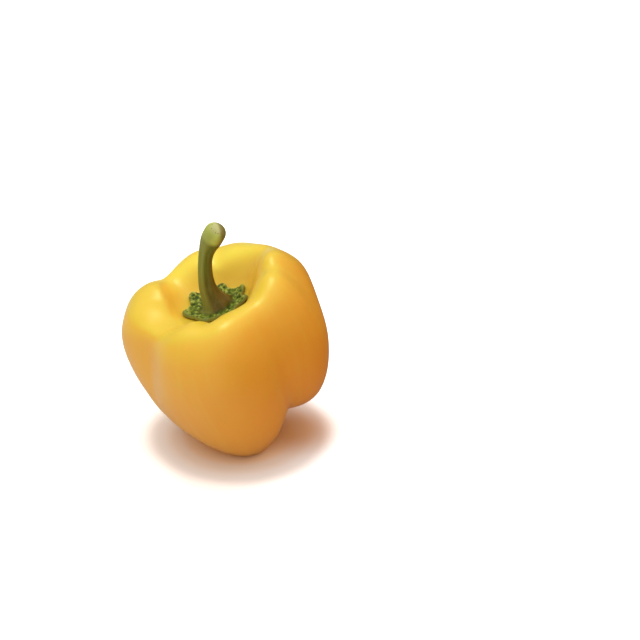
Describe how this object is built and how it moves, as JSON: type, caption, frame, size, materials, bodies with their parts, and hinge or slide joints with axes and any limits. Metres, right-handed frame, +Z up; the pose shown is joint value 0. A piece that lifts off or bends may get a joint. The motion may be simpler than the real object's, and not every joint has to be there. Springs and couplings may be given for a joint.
{
  "type": "bell pepper",
  "caption": "Whole ripe bell pepper as picked, blocky and lobed, with its green calyx and bent, ribbed stem, standing with a lean on its lobes.",
  "frame": {"origin": "on the surface it stands on, under the middle of the whole pepper's box", "axes": "+Z up; -Y towards the viewer's side with the broad front lobe; the pepper leans towards -X, and the lobe on +X hangs clear of the surface"},
  "size_m": [0.0889, 0.09, 0.1053],
  "materials": {
    "pepper_skin": null,
    "green_stem": null
  },
  "bodies": {
    "root": {"fruit": "pepper_skin", "stem_with_calyx": "green_stem"}
  },
  "joints": []
}
